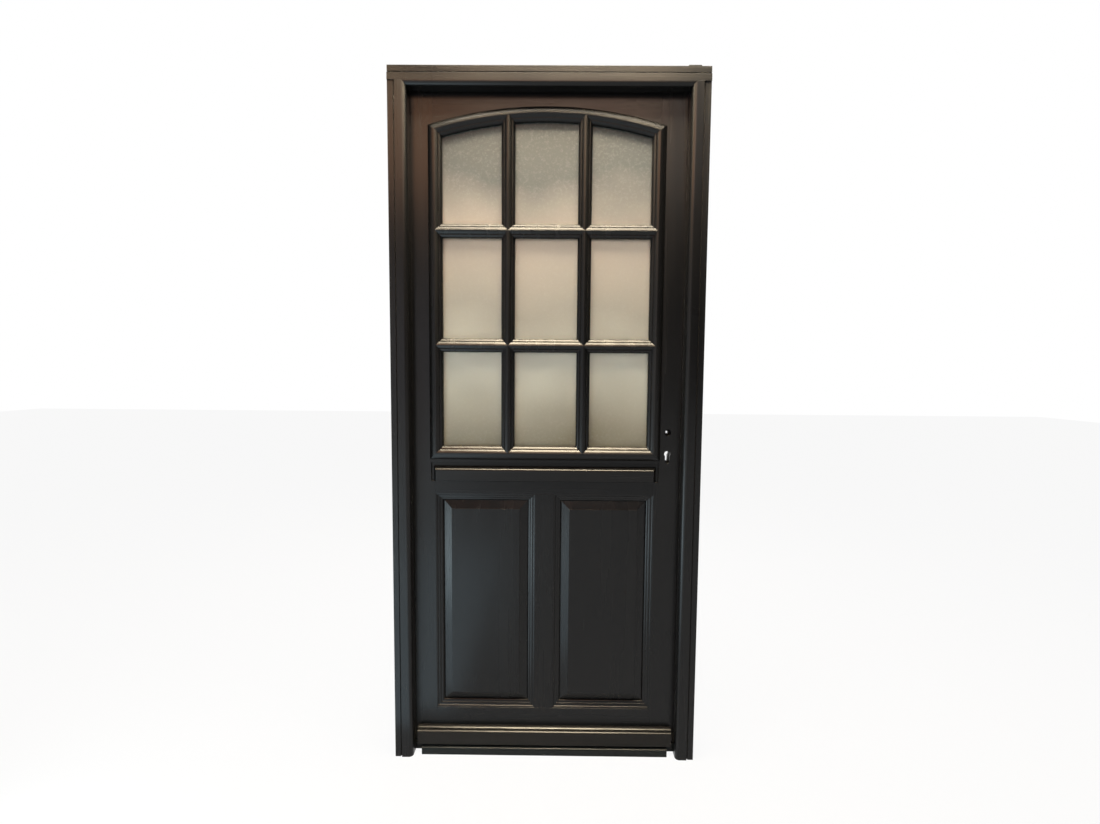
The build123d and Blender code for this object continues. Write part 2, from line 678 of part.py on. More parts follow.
def glass_outline(inset):
    """Outline of the glass in X and Z, inset from the edge of its rebate."""
    radius = ARCH_RADIUS + GLASS_COVER - inset
    half = SIGHT_WIDTH / 2 + GLASS_COVER - inset
    left, right = LIGHT_MIDDLE - half, LIGHT_MIDDLE + half
    bottom = MID_RAIL_TOP + inset
    spring = arch_height(half, radius)
    edges = [
        Polyline((left, 0, spring), (left, 0, bottom), (right, 0, bottom), (right, 0, spring)),
        ThreePointArc((right, 0, spring), (LIGHT_MIDDLE, 0, ARCH_CENTRE + radius), (left, 0, spring)),
    ]
    return make_face(edges)


def pane(y0):
    return Pos(0, y0, 0) * extrude(glass_outline(UNIT_PLAY), PANE_THICKNESS, dir=(0, 1, 0))


def spacer():
    gap = UNIT_THICKNESS - 2 * PANE_THICKNESS
    ring = glass_outline(UNIT_PLAY) - glass_outline(UNIT_PLAY + SPACER_WIDTH)
    return Pos(0, GLASS_FRONT + PANE_THICKNESS, 0) * extrude(ring, gap, dir=(0, 1, 0))


# Weather bars

def splay_ends(bar, middle, length, proud, splay, z0, z1):
    """Trims the ends of a weather bar so that they run back towards the front."""
    half = length / 2
    plan = Polyline(
        (middle - half, 0, z0),
        (middle - half, HOUSING_DEPTH, z0),
        (middle + half, HOUSING_DEPTH, z0),
        (middle + half, 0, z0),
        (middle + half - splay, -proud, z0),
        (middle - half + splay, -proud, z0),
        close=True,
    )
    return bar & extrude(make_face(plan), z1 - z0, dir=(0, 0, 1))


def drip_groove(proud, bottom, x0, x1):
    """The groove under a weather bar that sheds the water."""
    front = DRIP_SETBACK - proud
    return block(x0, x1, front, front + DRIP_WIDTH, bottom, bottom + DRIP_DEPTH)


def upper_weather_bar():
    """The weather bar under the glazing, let into its recess: sloping top and round nose."""
    top = WEATHER_BAR_TOP
    bottom = top - UPPER_BAR_HEIGHT
    front = -UPPER_BAR_PROUD
    half = UPPER_BAR_LENGTH / 2
    nose = UPPER_BAR_NOSE
    nose_top = top - UPPER_BAR_FALL
    x0, x1 = LIGHT_MIDDLE - half, LIGHT_MIDDLE + half
    outline = [
        Polyline((HOUSING_DEPTH, bottom), (HOUSING_DEPTH, top), (0, top), (front + nose, nose_top)),
        RadiusArc((front + nose, nose_top), (front, nose_top - nose), -nose),
        Polyline(
            (front, nose_top - nose),
            (front, bottom + UPPER_BAR_ARRIS),
            (front + UPPER_BAR_ARRIS, bottom),
            (HOUSING_DEPTH, bottom),
        ),
    ]
    bar = across(outline, x0, x1) - drip_groove(UPPER_BAR_PROUD, bottom, x0, x1)
    return splay_ends(bar, LIGHT_MIDDLE, UPPER_BAR_LENGTH, UPPER_BAR_PROUD, UPPER_BAR_SPLAY, bottom, top)


def lower_weather_bar():
    """The weather bar on the bottom rail: ovolo, quirk and bead over a plain face."""
    bottom = LEAF_FOOT + LOWER_BAR_LIFT
    top = bottom + LOWER_BAR_HEIGHT
    front = -LOWER_BAR_PROUD
    half = LOWER_BAR_LENGTH / 2
    x0, x1 = MID - half, MID + half
    ovolo_end = -COVER_FLAT - COVER_OVOLO_WIDTH
    bead_start = ovolo_end - COVER_QUIRK_WIDTH
    quirk_floor = top - COVER_QUIRK_DROP
    bead_foot = top - COVER_BEAD_FALL
    outline = [
        Polyline((0, bottom), (0, top), (-COVER_FLAT, top)),
        SagittaArc((-COVER_FLAT, top), (ovolo_end, top - COVER_OVOLO_FALL), -COVER_OVOLO_BULGE),
        Polyline(
            (ovolo_end, top - COVER_OVOLO_FALL),
            (ovolo_end, quirk_floor),
            (bead_start, quirk_floor),
            (bead_start, quirk_floor + COVER_BEAD_RISE),
        ),
        SagittaArc((bead_start, quirk_floor + COVER_BEAD_RISE), (front, bead_foot), -COVER_BEAD_BULGE),
        Polyline((front, bead_foot), (front, bottom), (0, bottom)),
    ]
    bar = across(outline, x0, x1) - drip_groove(LOWER_BAR_PROUD, bottom, x0, x1)
    return splay_ends(bar, MID, LOWER_BAR_LENGTH, LOWER_BAR_PROUD, LOWER_BAR_SPLAY, bottom, top)


# Lock

def key_shape(radius, slot, height, y0, y1):
    """The round-and-slot shape of a profile cylinder, hanging from its round part."""
    low = CYLINDER_HEIGHT + radius - height + slot / 2
    shape = drill(LOCK_X, CYLINDER_HEIGHT, radius, y0, y1)
    shape += drill(LOCK_X, low, slot / 2, y0, y1)
    return shape + block(LOCK_X - slot / 2, LOCK_X + slot / 2, y0, y1, low, CYLINDER_HEIGHT)


def edge_plate(x0, x1, grow):
    """A round-ended plate on the edge of the leaf or the rebate, grown all round."""
    r = FACEPLATE_WIDTH / 2 + grow
    low = LOCK_MIDDLE - FACEPLATE_HEIGHT / 2 + FACEPLATE_WIDTH / 2
    high = LOCK_MIDDLE + FACEPLATE_HEIGHT / 2 - FACEPLATE_WIDTH / 2
    plate = block(x0, x1, LEAF_MIDDLE - r, LEAF_MIDDLE + r, low, high)
    for z in (low, high):
        plate += Pos((x0 + x1) / 2, LEAF_MIDDLE, z) * Rot(0, 90, 0) * Cylinder(r, x1 - x0)
    return plate


def bolt_block(size, height, x0, x1, grow):
    half_y = size[0] / 2 + grow
    half_z = size[1] / 2 + grow
    return block(x0, x1, LEAF_MIDDLE - half_y, LEAF_MIDDLE + half_y, height - half_z, height + half_z)


def case_block(grow):
    x1 = LEAF_RIGHT - FACEPLATE_THICKNESS
    half = CASE_THICKNESS / 2 + grow
    bottom = CASE_TOP - CASE_HEIGHT
    return block(
        x1 - CASE_DEPTH - grow, x1, LEAF_MIDDLE - half, LEAF_MIDDLE + half, bottom - grow, CASE_TOP + grow
    )


def lock_case():
    """The mortice lock's case, its latch and bolt drawn back flush with the faceplate."""
    y0 = LEAF_MIDDLE - CASE_THICKNESS
    y1 = LEAF_MIDDLE + CASE_THICKNESS
    half = SPINDLE_SQUARE / 2
    case = case_block(0)
    case -= block(LOCK_X - half, LOCK_X + half, y0, y1, SPINDLE_HEIGHT - half, SPINDLE_HEIGHT + half)
    case -= key_shape(PROFILE_RADIUS, PROFILE_SLOT_WIDTH, PROFILE_HEIGHT, y0, y1)
    inner = LEAF_RIGHT - FACEPLATE_THICKNESS
    case += bolt_block(LATCH_SIZE, LATCH_HEIGHT, inner, LEAF_RIGHT, 0)
    case += bolt_block(BOLT_SIZE, BOLT_HEIGHT, inner, LEAF_RIGHT, 0)
    return case


def lock_faceplate():
    inner = LEAF_RIGHT - FACEPLATE_THICKNESS
    plate = edge_plate(inner, LEAF_RIGHT, 0)
    plate -= bolt_block(LATCH_SIZE, LATCH_HEIGHT, inner, LEAF_RIGHT, PLATE_PLAY)
    return plate - bolt_block(BOLT_SIZE, BOLT_HEIGHT, inner, LEAF_RIGHT, PLATE_PLAY)


def lock_cuts():
    """Everything that the lock needs cut out of its stile."""
    y0, y1 = -CUT_OVER, LEAF_THICKNESS + CUT_OVER
    cuts = case_block(CASE_PLAY)
    cuts += edge_plate(LEAF_RIGHT - FACEPLATE_THICKNESS, LEAF_RIGHT + CUT_OVER, PLATE_PLAY)
    cuts += drill(LOCK_X, SPINDLE_HEIGHT, SPINDLE_HOLE_RADIUS, y0, y1)
    return cuts + key_shape(CYLINDER_HOLE_RADIUS, CYLINDER_SLOT_WIDTH, CYLINDER_HOLE_HEIGHT, y0, y1)


def strike_plate():
    """The plate in the lock jamb that faces the latch and bolt."""
    x0 = FRAME_WIDTH - REBATE
    x1 = x0 + FACEPLATE_THICKNESS
    plate = edge_plate(x0, x1, 0)
    plate -= bolt_block(LATCH_SIZE, LATCH_HEIGHT, x0, x1, KEEP_PLAY)
    return plate - bolt_block(BOLT_SIZE, BOLT_HEIGHT, x0, x1, KEEP_PLAY)


def strike_cuts():
    x0 = FRAME_WIDTH - REBATE
    x1 = x0 + FACEPLATE_THICKNESS
    cuts = edge_plate(x0 - CUT_OVER, x1, PLATE_PLAY)
    cuts += bolt_block(LATCH_SIZE, LATCH_HEIGHT, x1, x0 + KEEP_DEPTH, KEEP_PLAY)
    return cuts + bolt_block(BOLT_SIZE, BOLT_HEIGHT, x1, x0 + KEEP_DEPTH, KEEP_PLAY)


# Hinges

def hinge_feet():
    """Height of the foot of each hinge."""
    low = LEAF_FOOT + HINGE_END_DISTANCE
    high = LEAF_TOP - HINGE_END_DISTANCE
    pitch = (high - low) / (HINGE_COUNT - 1)
    return [low + i * pitch - HINGE_HEIGHT / 2 for i in range(HINGE_COUNT)]


def knuckle(z0, z1, radius):
    return Pos(AXIS_X, AXIS_Y, (z0 + z1) / 2) * Cylinder(radius, z1 - z0)


def hinge_frame_half(foot):
    """Plate let into the jamb, lower knuckle and pin."""
    middle = foot + HINGE_HEIGHT / 2
    top = foot + HINGE_HEIGHT
    x0, x1 = REBATE - HINGE_PLATE, REBATE
    edge = BACK - ARRIS - HINGE_PLATE_CUT
    plate = block(x0, x1, HINGE_PLATE_EDGE, edge, foot, top)
    lug = block(x0, x1, edge, AXIS_Y, foot, middle - HINGE_GAP)
    barrel = knuckle(foot, middle - HINGE_GAP, HINGE_RADIUS)
    pin = knuckle(foot, top - HINGE_CAP - HINGE_PIN_PLAY, HINGE_PIN_RADIUS)
    return plate + lug + barrel + pin


def hinge_leaf_half(foot):
    """Plate let into the edge of the leaf and the upper knuckle, bored for the pin."""
    middle = foot + HINGE_HEIGHT / 2
    top = foot + HINGE_HEIGHT
    x0, x1 = LEAF_LEFT, LEAF_LEFT + HINGE_PLATE
    edge = LEAF_THICKNESS - HINGE_PLATE_CUT
    plate = block(x0, x1, HINGE_PLATE_EDGE, edge, foot, top)
    lug = block(x0, x1, edge, AXIS_Y, middle, top)
    half = plate + lug + knuckle(middle, top, HINGE_RADIUS)
    return half - knuckle(middle, top - HINGE_CAP, HINGE_PIN_RADIUS + HINGE_RUNNING)


def hinge_pockets(x0, x1, back):
    """The pockets of all hinges in a jamb or stile, open at its edge and its back."""
    return [
        block(x0, x1, HINGE_PLATE_EDGE, back + CUT_OVER, foot, foot + HINGE_HEIGHT)
        for foot in hinge_feet()
    ]


# Assembly

os.makedirs("parts", exist_ok=True)

jamb_blank = hinge_jamb_blank()
head = head_member((jamb_blank, other_hand(jamb_blank)))
hinge_jamb = jamb_blank
for pocket in hinge_pockets(REBATE - HINGE_PLATE, REBATE + CUT_OVER, BACK):
    hinge_jamb -= pocket
save(hinge_jamb, "hinge_jamb")
save(other_hand(jamb_blank) - strike_cuts(), "lock_jamb")
save(head, "head")
save(threshold(), "threshold")
save(frame_seal(), "frame_seal")
save(strike_plate(), "strike_plate")
save(top_packer(), "top_packer")

hinge_stile = hinge_stile_blank()
for pocket in hinge_pockets(LEAF_LEFT - CUT_OVER, LEAF_LEFT + HINGE_PLATE, LEAF_THICKNESS):
    hinge_stile -= pocket
save(hinge_stile, "hinge_stile")
save(lock_stile_blank() - lock_cuts(), "lock_stile")
save(top_rail(), "top_rail")
save(mid_rail(), "mid_rail")
save(bottom_rail(), "bottom_rail")
save(muntin(), "muntin")
for side, opening in zip(("left", "right"), panel_openings()):
    save(raised_panel(opening), f"panel_{side}")

outer_front, outer_back = -MOULDING_PROUD - CUT_OVER, GLASS_FRONT + CUT_OVER
outer_section = moulding_inner_half() + moulding_outer_half()
outer_surround = surround_members(outer_section, MOULDING_WIDTH, outer_front, outer_back)
inner_front, inner_back = GLASS_BACK - CUT_OVER, LEAF_THICKNESS + CUT_OVER
inner_section = inner_bead_section(BEAD_WIDTH, both_sides=False)
inner_surround = surround_members(inner_section, BEAD_WIDTH, inner_front, inner_back)
for side in ("left", "right", "bottom", "top"):
    save(outer_surround[side], f"glazing_moulding_outer_{side}")
    save(inner_surround[side], f"glazing_moulding_inner_{side}")
outer_bars = glazing_bars(outer_bar_section(), outer_surround, MOULDING_WIDTH / 2, outer_front, outer_back)
inner_bar_section = inner_bead_section(MOULDING_WIDTH, both_sides=True)
inner_bars = glazing_bars(inner_bar_section, inner_surround, INNER_BAR_TAIL, inner_front, inner_back)
save(outer_bars, "glazing_bars_outer")
save(inner_bars, "glazing_bars_inner")
save(pane(GLASS_FRONT), "glass_outer_pane")
save(spacer(), "glass_spacer")
save(pane(GLASS_BACK - PANE_THICKNESS), "glass_inner_pane")

save(upper_weather_bar(), "upper_weather_bar")
save(lower_weather_bar(), "lower_weather_bar")
save(lock_case(), "lock_case")
save(lock_faceplate(), "lock_faceplate")

for number, foot in enumerate(hinge_feet(), start=1):
    save(hinge_frame_half(foot), f"hinge_{number}_frame_half")
    save(hinge_leaf_half(foot), f"hinge_{number}_leaf_half")
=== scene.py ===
import math

import bmesh
import bpy
from mathutils import Matrix, Vector


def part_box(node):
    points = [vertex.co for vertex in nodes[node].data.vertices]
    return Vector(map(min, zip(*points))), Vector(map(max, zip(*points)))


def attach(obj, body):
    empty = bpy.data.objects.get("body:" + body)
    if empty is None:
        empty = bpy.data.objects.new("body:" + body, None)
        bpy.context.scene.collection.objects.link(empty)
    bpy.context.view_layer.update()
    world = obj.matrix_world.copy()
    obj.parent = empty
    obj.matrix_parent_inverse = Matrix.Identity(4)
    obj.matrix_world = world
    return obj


# Looks of the glazed front door: satin paint over open grain, obscure glass, metal fittings,
# and the plain studio that it stands in. Metres; Y runs into the building, Z is up.

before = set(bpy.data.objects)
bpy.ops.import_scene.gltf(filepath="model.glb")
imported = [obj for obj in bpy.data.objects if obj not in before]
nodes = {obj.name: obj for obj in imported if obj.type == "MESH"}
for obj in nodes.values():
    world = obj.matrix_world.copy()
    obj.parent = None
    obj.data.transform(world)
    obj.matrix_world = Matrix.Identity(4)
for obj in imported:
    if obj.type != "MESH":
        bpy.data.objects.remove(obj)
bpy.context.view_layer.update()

# Camera, from the perspective of the frame's corners and mouldings
EYE = Vector((0.5128, -1.8037, 1.2755))
YAW = math.radians(-0.387)      # turn to the right of straight ahead
PITCH = math.radians(4.266)     # tilt down
ROLL = math.radians(0.455)
IMAGE_WIDTH = 1100
FOCAL_PIXELS = 560.0
SENSOR = 36.0
CLIP_START = 0.05

# Floor and backdrop
FLOOR_SIZE = 30.0
FLOOR_TONE = (0.8, 0.79, 0.77, 1)
FLOOR_GLOW = 0.92               # share of plain white in the floor that is seen
FLOOR_NOISE = (5.0, 4.0, 0.5)
FLOOR_ROUGHNESS = (0.7, 0.8)
WHITE = (1, 1, 1, 1)

# Room in front of the door. Its tones go by the height that a ray looks to, from low to high.
ROOM_LEVELS = (1.5, 0.2)        # towards the left and the right
ROOM_SIDES = (-0.25, 0.25)      # part of a ray along X over which the level changes
ROOM_HEIGHTS = (-0.1, 0.7)      # part of a ray along Z over which the tones run
ROOM_TONES = (
    (0.00, (0.30, 0.31, 0.33, 1)),
    (0.15, (0.52, 0.50, 0.54, 1)),
    (0.33, (0.20, 0.24, 0.29, 1)),
    (0.41, (0.40, 0.34, 0.31, 1)),
    (0.50, (0.22, 0.20, 0.20, 1)),
    (1.00, (0.20, 0.20, 0.20, 1)),
)

# Lamps, each with its name, place, level, tone and whether it shows in gloss only, which
# means that it lights no matt surface. The cards are pale panels that the paint mirrors.
OVERHEAD = {"place": (0.53, -0.23, 3.0), "target": (0.53, -0.23, 0), "width": 1.3, "height": 0.85}
PORCH = {"place": (0.05, -1.63, 2.55), "target": (0.05, -1.63, 0), "width": 2.0, "height": 1.5}
FAR_CARD = {"place": (-1.45, -1.05, 0.01), "target": (-1.45, -1.05, 1), "width": 1.7, "height": 1.5}
NEAR_CARD = {"place": (-0.22, -1.2, 0.01), "target": (-0.22, -1.2, 1), "width": 0.72, "height": 2.0}
LONG_CARD = {"place": (-1.05, -4.1, 0.01), "target": (-1.05, -4.1, 1), "width": 1.2, "height": 3.8}
TALL_CARD = {"place": (-1.35, -5.2, 1.3), "target": (-0.1, 0.0, 1.3), "width": 1.7, "height": 2.4}
LEFT = {"place": (-0.95, -0.85, 0.36), "target": (0.5, 0.0, 0.45), "width": 1.0, "height": 0.72}
FRONT = {"place": (0.8, -3.4, 3.4), "target": (0.49, 0, 0.9), "width": 2.0, "height": 1.2}
INSIDE = {"place": (0.5, 2.6, 2.6), "target": (0.49, 0, 1.0), "width": 2.0, "height": 1.4}
EAVES = [
    {"place": (x, -0.72, 2.55), "target": (x, -0.72, 0), "width": width, "height": 0.5}
    for x, width in ((-0.25, 0.20), (0.20, 0.26), (0.55, 0.17), (0.92, 0.22))
]
LAMPS = [
    ("overhead_light", OVERHEAD, 16.5, (1.0, 0.90, 0.78), False),
    ("overhead_sheen", OVERHEAD, 390.0, (1.0, 0.84, 0.58), True),
    *((f"eaves_light_{i}", where, 4.0, (1.0, 0.68, 0.40), True) for i, where in enumerate(EAVES)),
    ("porch_light", PORCH, 4.7, (1.0, 0.45, 0.22), True),
    ("far_card", FAR_CARD, 3.4, (0.64, 0.87, 1.0), True),
    ("near_card", NEAR_CARD, 1.9, (0.62, 0.86, 1.0), True),
    ("long_card", LONG_CARD, 1.1, (0.80, 0.93, 1.0), True),
    ("tall_card", TALL_CARD, 0.62, (1.0, 0.93, 0.97), True),
    ("left_light", LEFT, 5.0, (0.75, 0.93, 1.0), False),
    ("left_sheen", LEFT, 12.0, (0.50, 0.84, 1.0), True),
    ("front_light", FRONT, 2.2, (1.0, 0.97, 0.93), False),
    ("inside_light", INSIDE, 3.0, (1.0, 0.97, 0.92), False),
]

# Surfaces. A ..._NOISE is the scale, detail and roughness of a noise texture, NOISE_MIDDLE the
# range that its values mostly keep to, and another ..._RANGE the part of it that makes marks.
# A ..._BUMP is a depth in metres and a strength.
NOISE_MIDDLE = (0.3, 0.7)
GRAIN_STRETCH = 22.0

PAINT = {"dark": (0.0048, 0.0050, 0.0054, 1), "light": (0.0086, 0.0083, 0.0084, 1), "specular": 0.22}
# The threshold and the lower weather bar keep the door's paint with a duller gloss; their base colours are
# lifted as painted reflection, standing in for the reflection that the duller gloss gives up.
THRESHOLD_PAINT_AND_REFLECTION = {
    "dark": (0.0170, 0.0200, 0.0202, 1), "light": (0.0215, 0.0250, 0.0252, 1), "specular": 0.08,
}
LOWER_BAR_PAINT_AND_REFLECTION = {
    "dark": (0.0185, 0.0172, 0.0160, 1), "light": (0.0235, 0.0216, 0.0200, 1), "specular": 0.09,
}
# Painted shade: where ambient occlusion finds grooves and tight corners, the paint takes this near-black
# tone and turns dull.
RECESS_PAINTED_SHADE = (0.0016, 0.0015, 0.0015, 1)
RECESS_REACH = 0.016            # width of the grooves that get painted shade
RECESS_OPENNESS = (0.20, 0.46)  # share of open air over which the painted shade, dull and dark, gives way to plain paint
RECESS_ROUGHNESS = 0.9
RECESS_SAMPLES = 6
PAINT_ROUGHNESS = (0.20, 0.31)
CLOUD_NOISE = (3.2, 3.0, 0.55)
FIGURE_NOISE = (24.0, 3.0, 0.5)
GRAIN_NOISE = (210.0, 6.0, 0.62)
PORE_NOISE = (520.0, 3.0, 0.7)
PORE_RANGE = (0.56, 0.70)
FIGURE_BUMP = (0.0008, 0.07)
GRAIN_BUMP = (0.0005, 0.15)
PORE_BUMP = (0.0003, 0.30)
ARRIS = 0.0011                  # softened edge of painted timber
ARRIS_SAMPLES = 4

# The obscure glass's tint carries painted light and shade by height: painted shade at the foot, two pale
# bands of painted light, and painted shade at a dark crown.
GLASS_TINT_LIGHT_AND_SHADE = (
    (0.00, (0.25, 0.22, 0.15, 1)),
    (0.26, (0.74, 0.72, 0.62, 1)),
    (0.42, (0.48, 0.45, 0.38, 1)),
    (0.64, (0.60, 0.52, 0.43, 1)),
    (0.84, (0.09, 0.11, 0.11, 1)),
    (1.00, (0.05, 0.07, 0.07, 1)),
)
GLASS_WANDER = 0.05             # how far the bands of painted light and shade stray up and down
WANDER_NOISE = (3.0, 2.0, 0.5)
GLASS_ROUGHNESS = (0.34, 0.52)
GLASS_SPECULAR = 0.12
GLASS_THROUGH = 0.35
GLASS_IOR = 1.5
GRIT_NOISE = (260.0, 3.0, 0.6)
GRIT_BUMP = (0.0005, 0.3)
CELL_SCALE = 330.0
CELL_BUMP = (0.0004, 0.35)
SPECK_TONE = (0.78, 0.78, 0.72, 1)
SPECK_NOISE = (130.0, 4.0, 0.75)
SPECK_RANGE = (0.50, 0.78)
SPECK_SHARE = 0.15

CLEAR_DARK = (0.90, 0.94, 0.92, 1)
CLEAR_LIGHT = (0.94, 0.97, 0.95, 1)
TINT_NOISE = (2.0, 2.0, 0.5)
DUST_NOISE = (60.0, 4.0, 0.7)
DUST_RANGE = (0.45, 0.8)
DUST_ROUGHNESS = (0.02, 0.12)
WAVE_NOISE = (6.0, 1.0, 0.5)
WAVE_BUMP = (0.0004, 0.15)

STEEL = {"dark": (0.40, 0.39, 0.37, 1), "light": (0.56, 0.55, 0.52, 1), "roughness": (0.24, 0.40)}
# The lock case's near-black tone is painted shade, which keeps the handle holes dark.
CASE_STEEL_IN_SHADE = {
    "dark": (0.010, 0.010, 0.010, 1), "light": (0.022, 0.021, 0.020, 1), "roughness": (0.5, 0.7),
}
HINGE_COATING = {
    "dark": (0.020, 0.018, 0.017, 1), "light": (0.034, 0.030, 0.027, 1), "roughness": (0.30, 0.44),
    "metallic": 0.25,
}
ALUMINIUM = {"dark": (0.42, 0.42, 0.41, 1), "light": (0.52, 0.52, 0.51, 1), "roughness": (0.34, 0.5)}
METAL_ARRIS = 0.0004
BRUSH_NOISE = (900.0, 3.0, 0.6)
BRUSH_BUMP = (0.00008, 0.35)
PATCH_NOISE = (14.0, 4.0, 0.6)
RUBBER = {
    "dark": (0.008, 0.008, 0.008, 1), "light": (0.016, 0.016, 0.016, 1), "roughness": (0.55, 0.75),
    "skin_scale": 800.0,
}
PLASTIC = {
    "dark": (0.014, 0.014, 0.014, 1), "light": (0.026, 0.025, 0.024, 1), "roughness": (0.4, 0.6),
    "skin_scale": 500.0,
}
MOULDED_SPECULAR = 0.03
MOULDED_NOISE = (9.0, 3.0, 0.5)
SKIN_DETAIL = 4.0
SKIN_GRIT = 0.6
SKIN_BUMP = (0.0002, 0.3)

# Screws
SCREW_RADIUS = 0.0036
SCREW_RIM = 0.93                # radius of the raised top, as a share of the head's
SCREW_RAISE = 0.0002
SCREW_DEPTH = 0.0012
SCREW_PROFILE = (               # radius and height, from the hidden foot to the top
    (SCREW_RADIUS, -SCREW_DEPTH),
    (SCREW_RADIUS, 0.0),
    (SCREW_RADIUS * SCREW_RIM, SCREW_RAISE),
)
SCREW_SIDES = 28
SCREW_TURN = 0.7                # each head's turn from the one before
SLOT_REACH = 0.62               # share of the radius
SLOT_HALF = 0.00045
SLOT_TAPER = 0.7                # the slot's floor, as a share of its mouth
SLOT_DEPTH = 0.8                # share of the screw's depth
PLATE_SCREW_SHARES = (0.04, 0.96)
HINGE_NUMBERS = range(1, 5)
HINGE_SCREW_SHARES = (0.08, 0.36, 0.64, 0.92)
HINGE_SCREW_ROWS = (0.010, 0.022)   # from the hidden edge of the plate
HINGE_PLATE = 0.0025


# Materials

def new_material(name):
    material = bpy.data.materials.new(name)
    material.use_nodes = True
    return material, material.node_tree, material.node_tree.nodes["Principled BSDF"]


def add(tree, kind, inputs=None, **settings):
    """A new node with its settings, each input a value or another node's socket."""
    node = tree.nodes.new(kind)
    for name, value in settings.items():
        setattr(node, name, value)
    for name, value in (inputs or {}).items():
        if isinstance(value, bpy.types.NodeSocket):
            tree.links.new(value, node.inputs[name])
        else:
            node.inputs[name].default_value = value
    return node


def stretched_coords(tree, along):
    """Object coordinates drawn out along one axis, so that a noise runs with the grain."""
    coords = add(tree, "ShaderNodeTexCoord")
    scale = [1.0, 1.0, 1.0]
    scale["XYZ".index(along)] = 1 / GRAIN_STRETCH
    mapping = add(tree, "ShaderNodeMapping", {"Vector": coords.outputs["Object"], "Scale": scale})
    return coords.outputs["Object"], mapping.outputs["Vector"]


def noise(tree, vector, scale, detail, rough):
    inputs = {"Vector": vector, "Scale": scale, "Detail": detail, "Roughness": rough}
    return add(tree, "ShaderNodeTexNoise", inputs).outputs["Fac"]


def spread(tree, value, low, high, to_low, to_high):
    """A value brought from one range to another, and held within it."""
    inputs = {"Value": value, "From Min": low, "From Max": high, "To Min": to_low, "To Max": to_high}
    return add(tree, "ShaderNodeMapRange", inputs).outputs["Result"]


def blended(tree, factor, one, two):
    """A mix of two colours, each a value or another node's socket."""
    node = add(tree, "ShaderNodeMix", {"Factor": factor}, data_type="RGBA")
    for name, tone in (("A", one), ("B", two)):
        socket = next(s for s in node.inputs if s.name == name and s.type == "RGBA")
        if isinstance(tone, bpy.types.NodeSocket):
            tree.links.new(tone, socket)
        else:
            socket.default_value = tone
    return next(s for s in node.outputs if s.type == "RGBA")


def computed(tree, operation, one, two):
    """One number from two, each a value or another node's socket."""
    return add(tree, "ShaderNodeMath", {0: one, 1: two}, operation=operation).outputs["Value"]


def set_tones(ramp, tones):
    """Fills a colour ramp with stops from 0 to 1, each a position and its tone."""
    stops = ramp.color_ramp.elements
    for position, tone in tones[1:-1]:
        stops.new(position).color = tone
    stops[0].color = tones[0][1]
    stops[-1].color = tones[-1][1]


def bumped(tree, height, distance, strength, normal=None):
    """Surface direction with bumps, on top of another one where it is given."""
    inputs = {"Height": height, "Distance": distance, "Strength": strength}
    if normal is not None:
        inputs["Normal"] = normal
    return add(tree, "ShaderNodeBump", inputs).outputs["Normal"]


def painted_timber(name, along, dark, light, specular):
    """Satin paint over open grain: softened arrises, and painted shade that makes it dull and darker in
    its grooves.
    """
    material, tree, shader = new_material(name)
    plain, grain_coords = stretched_coords(tree, along)
    grain = noise(tree, grain_coords, *GRAIN_NOISE)
    pores = spread(tree, noise(tree, grain_coords, *PORE_NOISE), *PORE_RANGE, 1.0, 0.0)
    figure = noise(tree, grain_coords, *FIGURE_NOISE)
    cloud = noise(tree, plain, *CLOUD_NOISE)
    reach = {"Distance": RECESS_REACH}
    # Painted shade: ambient occlusion darkens and dulls the paint in grooves and corners.
    open_air = add(tree, "ShaderNodeAmbientOcclusion", reach, samples=RECESS_SAMPLES).outputs["AO"]
    unshaded = spread(tree, open_air, *RECESS_OPENNESS, 0.0, 1.0)
    paint = blended(tree, cloud, dark, light)
    tree.links.new(blended(tree, unshaded, RECESS_PAINTED_SHADE, paint), shader.inputs["Base Color"])
    gloss = spread(tree, figure, *NOISE_MIDDLE, *PAINT_ROUGHNESS)
    dullness = spread(tree, unshaded, 0.0, 1.0, RECESS_ROUGHNESS, 0.0)
    tree.links.new(computed(tree, "MAXIMUM", gloss, dullness), shader.inputs["Roughness"])
    shader.inputs["Specular IOR Level"].default_value = specular
    edges = add(tree, "ShaderNodeBevel", {"Radius": ARRIS}, samples=ARRIS_SAMPLES).outputs["Normal"]
    broad = bumped(tree, figure, *FIGURE_BUMP, edges)
    ridged = bumped(tree, grain, *GRAIN_BUMP, broad)
    tree.links.new(bumped(tree, pores, *PORE_BUMP, ridged), shader.inputs["Normal"])
    return material


